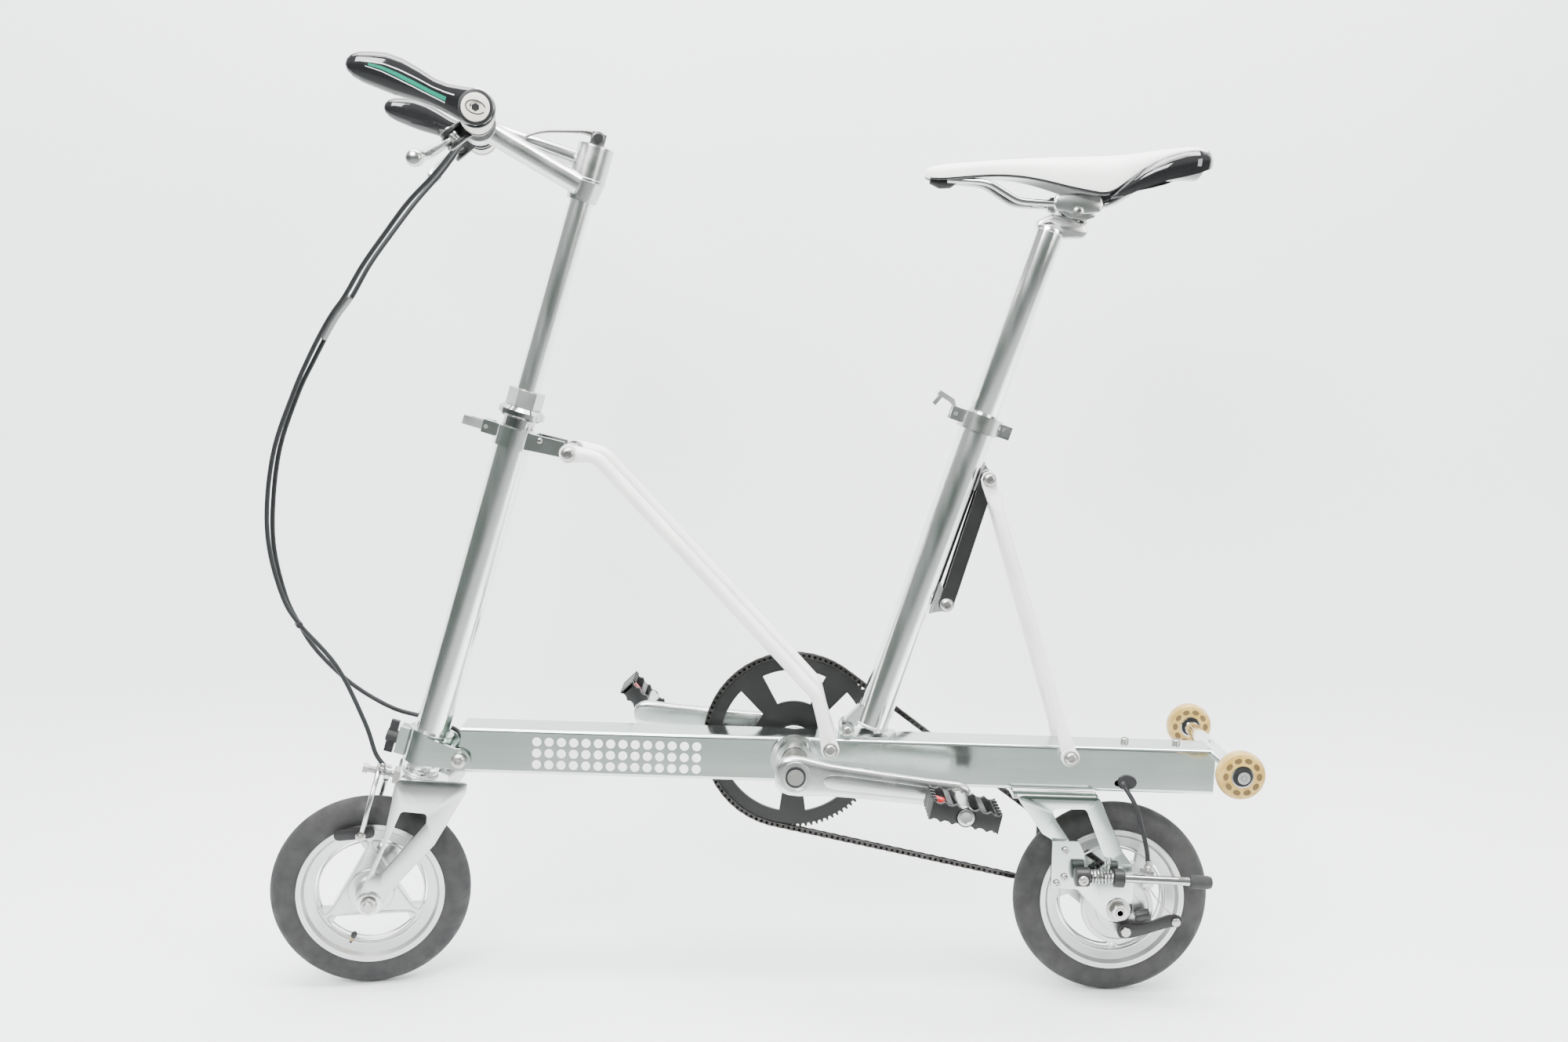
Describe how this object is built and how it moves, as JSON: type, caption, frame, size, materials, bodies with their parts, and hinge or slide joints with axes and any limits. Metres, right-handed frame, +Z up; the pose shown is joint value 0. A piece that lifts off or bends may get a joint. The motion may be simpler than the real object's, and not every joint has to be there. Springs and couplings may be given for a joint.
{
  "type": "folding bicycle",
  "caption": "Small-wheeled folding bicycle with a straight box beam, telescopic uprights braced by struts, chain drive and trolley rollers.",
  "frame": {"origin": "on the ground in the frame's mid-plane, midway along the bicycle; the bars are turned, so the box is not centred on it across the bicycle", "axes": "+X to the rear of the bicycle, +Y to its right (drive) side, +Z up"},
  "size_m": [1.0584, 0.4951, 0.9867],
  "materials": {
    "polished": "polished",
    "satin": "satin",
    "zinc": "satin",
    "chrome": "polished",
    "chain": "oiled",
    "tyre": "matte",
    "pale_rubber": "matte",
    "black_gloss": "gloss",
    "black_plastic": "matte",
    "black_metal": "satin",
    "white_paint": "gloss",
    "saddle_cover": "satin",
    "roller": "gloss",
    "cable": "satin"
  },
  "bodies": {
    "frame": {"main_beam": "polished", "roller_axle": "polished", "bottom_bracket_shell": "polished", "dropout_bridge": "polished", "dropout_plates": "polished", "kickstand_bracket": "polished", "brake_backplate": "satin", "rear_axle": "zinc", "frame_bolts": "zinc", "chain_runs": "chain", "chain_wraps": "chain", "rear_brake_cable": "cable"},
    "front_bracket": {"bracket_clamp": "polished"},
    "wing_knob": {"wing_knob": "black_plastic"},
    "head_tube": {"head_tube": "polished", "headset": "chrome", "strut_collar": "polished"},
    "collar_lever": {"collar_lever": "satin"},
    "fork": {"steerer": "satin", "fork_crown": "polished", "fork_plates": "polished", "front_axle": "zinc", "caliper_bridge": "zinc", "front_brake_cable": "cable"},
    "left_caliper_arm": {"left_caliper_arm": "satin"},
    "right_caliper_arm": {"right_caliper_arm": "satin"},
    "front_wheel": {"front_tyre": "tyre", "front_rim": "satin"},
    "stem": {"stem_post": "polished", "stem_head": "polished", "handlebar": "polished", "grips": "pale_rubber", "bar_ends": "black_gloss", "brake_perches": "black_metal"},
    "stem_lever": {"stem_lever": "satin"},
    "left_brake_lever": {"left_brake_lever": "satin"},
    "right_brake_lever": {"right_brake_lever": "satin"},
    "front_strut": {"front_strut": "white_paint"},
    "seat_tube": {"seat_tube": "polished", "seat_collar": "polished"},
    "seat_lever": {"seat_lever": "satin"},
    "seat_post": {"seat_post": "polished", "saddle_clamp": "satin", "saddle_rails": "chrome", "saddle": "saddle_cover"},
    "rear_link": {"rear_link": "black_metal"},
    "rear_strut": {"rear_strut": "white_paint"},
    "crank": {"crank_axle": "zinc", "chainring": "black_metal", "left_crank": "satin", "right_crank": "satin"},
    "left_pedal": {"left_pedal": "black_metal"},
    "right_pedal": {"right_pedal": "black_metal"},
    "left_roller": {"left_roller": "roller"},
    "right_roller": {"right_roller": "roller"},
    "kickstand": {"kickstand": "zinc"},
    "rear_wheel": {"rear_tyre": "tyre", "rear_rim": "satin"},
    "rear_sprocket": {"rear_sprocket": "zinc"},
    "brake_arm": {"brake_arm": "black_metal"}
  },
  "joints": [
    {"name": "fold", "type": "hinge", "parent": "frame", "child": "front_bracket", "pos_m": [-0.319, 0, 0.262], "axis": [0, -1, 0], "range_deg": [0, 86], "deforming": ["rear_brake_cable"]},
    {"name": "head_slide", "type": "slide", "parent": "front_bracket", "child": "head_tube", "axis": [-0.2756, 0, -0.9613], "range_m": [0, 0.324]},
    {"name": "front_strut_fold", "type": "hinge", "parent": "frame", "child": "front_strut", "pos_m": [0.081, 0, 0.281], "axis": [0, -1, 0], "range_deg": [0, 46.6]},
    {"name": "seat_tube_fold", "type": "hinge", "parent": "frame", "child": "seat_tube", "pos_m": [0.1, 0, 0.297], "axis": [0, -1, 0], "range_deg": [0, 80.1]},
    {"name": "rear_link_fold", "type": "hinge", "parent": "seat_tube", "child": "rear_link", "pos_m": [0.205, 0, 0.436], "axis": [0, -1, 0], "range_deg": [-127.8, 0]},
    {"name": "rear_strut_fold", "type": "hinge", "parent": "frame", "child": "rear_strut", "pos_m": [0.341, 0, 0.274], "axis": [0, -1, 0], "range_deg": [0, 29.8]},
    {"name": "steering", "type": "hinge", "parent": "head_tube", "child": "fork", "pos_m": [-0.32525, 0, 0.3845], "axis": [0.2756, 0, 0.9613], "range_deg": [-70, 50], "deforming": ["rear_brake_cable"]},
    {"name": "stem_slide", "type": "slide", "parent": "fork", "child": "stem", "axis": [-0.2756, 0, -0.9613], "range_m": [0, 0.195], "deforming": ["rear_brake_cable", "front_brake_cable"]},
    {"name": "front_wheel_spin", "type": "hinge", "parent": "fork", "child": "front_wheel", "pos_m": [-0.42177, -0.00292, 0.1079], "axis": [-0.1669, 0.9848, 0.0479], "continuous": true},
    {"name": "stem_lever_swing", "type": "hinge", "parent": "stem", "child": "stem_lever", "pos_m": [-0.17197, -0.00017, 0.9226], "axis": [-0.1669, 0.9848, 0.0479], "range_deg": [0, 110]},
    {"name": "collar_lever_swing", "type": "hinge", "parent": "head_tube", "child": "collar_lever", "pos_m": [-0.28944, 0, 0.62183], "axis": [0, 1, 0], "range_deg": [0, 90]},
    {"name": "wing_knob_turn", "type": "hinge", "parent": "front_bracket", "child": "wing_knob", "pos_m": [-0.3965, 0, 0.28114], "axis": [-0.9613, 0, 0.2756], "range_deg": [0, 180]},
    {"name": "left_brake_squeeze", "type": "hinge", "parent": "stem", "child": "left_brake_lever", "pos_m": [-0.29705, -0.12825, 0.90705], "axis": [-0.6106, -0.1414, 0.7792], "range_deg": [0, 20], "stiffness_Nm_per_rad": 2},
    {"name": "right_brake_squeeze", "type": "hinge", "parent": "stem", "child": "right_brake_lever", "pos_m": [-0.33243, 0.08053, 0.9172], "axis": [0.6106, 0.1414, -0.7792], "range_deg": [0, 20], "stiffness_Nm_per_rad": 2},
    {"name": "left_caliper_close", "type": "hinge", "parent": "fork", "child": "left_caliper_arm", "pos_m": [-0.41072, -0.00764, 0.24361], "axis": [0.9467, 0.1736, -0.2714], "range_deg": [0, 0.5]},
    {"name": "right_caliper_close", "type": "hinge", "parent": "fork", "child": "right_caliper_arm", "pos_m": [-0.40126, -0.0059, 0.24089], "axis": [-0.9467, -0.1736, 0.2714], "range_deg": [0, 0.5]},
    {"name": "brake_arm_pull", "type": "hinge", "parent": "frame", "child": "brake_arm", "pos_m": [0.404, -0.05, 0.087], "axis": [0, -1, 0], "range_deg": [0, 16.5]},
    {"name": "seat_lever_swing", "type": "hinge", "parent": "seat_tube", "child": "seat_lever", "pos_m": [0.2091, 0, 0.64237], "axis": [0, -1, 0], "range_deg": [0, 90]},
    {"name": "seat_post_slide", "type": "slide", "parent": "seat_tube", "child": "seat_post", "axis": [-0.314, 0, -0.9494], "range_m": [0, 0.2]},
    {"name": "crank_spin", "type": "hinge", "parent": "frame", "child": "crank", "pos_m": [0.043, 0, 0.268], "axis": [0, 1, 0], "continuous": true},
    {"name": "left_pedal_spin", "type": "hinge", "parent": "crank", "child": "left_pedal", "pos_m": [0.21194, -0.13, 0.24905], "axis": [0, 1, 0], "continuous": true},
    {"name": "right_pedal_spin", "type": "hinge", "parent": "crank", "child": "right_pedal", "pos_m": [-0.12594, 0.13, 0.28695], "axis": [0, 1, 0], "continuous": true},
    {"name": "rear_wheel_spin", "type": "hinge", "parent": "frame", "child": "rear_wheel", "pos_m": [0.397, 0, 0.108], "axis": [0, 1, 0], "continuous": true},
    {"name": "rear_sprocket_spin", "type": "hinge", "parent": "frame", "child": "rear_sprocket", "pos_m": [0.397, 0.046, 0.108], "axis": [0, 1, 0], "continuous": true},
    {"name": "left_roller_spin", "type": "hinge", "parent": "frame", "child": "left_roller", "pos_m": [0.5045, -0.1, 0.277], "axis": [0, 1, 0], "continuous": true},
    {"name": "right_roller_spin", "type": "hinge", "parent": "frame", "child": "right_roller", "pos_m": [0.5045, 0.1, 0.277], "axis": [0, 1, 0], "continuous": true},
    {"name": "kickstand_swing", "type": "hinge", "parent": "frame", "child": "kickstand", "pos_m": [0.352, -0.0605, 0.151], "axis": [0, 1, 0], "range_deg": [0, 90]}
  ],
  "couplings": [
    {"joint": "head_slide", "follows": "fold", "m_per_rad": 0.21519},
    {"joint": "front_strut_fold", "follows": "fold", "ratio": 0.5401},
    {"joint": "seat_tube_fold", "follows": "fold", "ratio": 0.9302},
    {"joint": "rear_link_fold", "follows": "fold", "ratio": -1.4849},
    {"joint": "rear_strut_fold", "follows": "fold", "ratio": 0.3453},
    {"joint": "left_caliper_close", "follows": "left_brake_squeeze", "ratio": 0.02},
    {"joint": "right_caliper_close", "follows": "left_brake_squeeze", "ratio": 0.02},
    {"joint": "brake_arm_pull", "follows": "right_brake_squeeze", "ratio": 0.8},
    {"joint": "rear_sprocket_spin", "follows": "crank_spin", "ratio": 6.125}
  ]
}
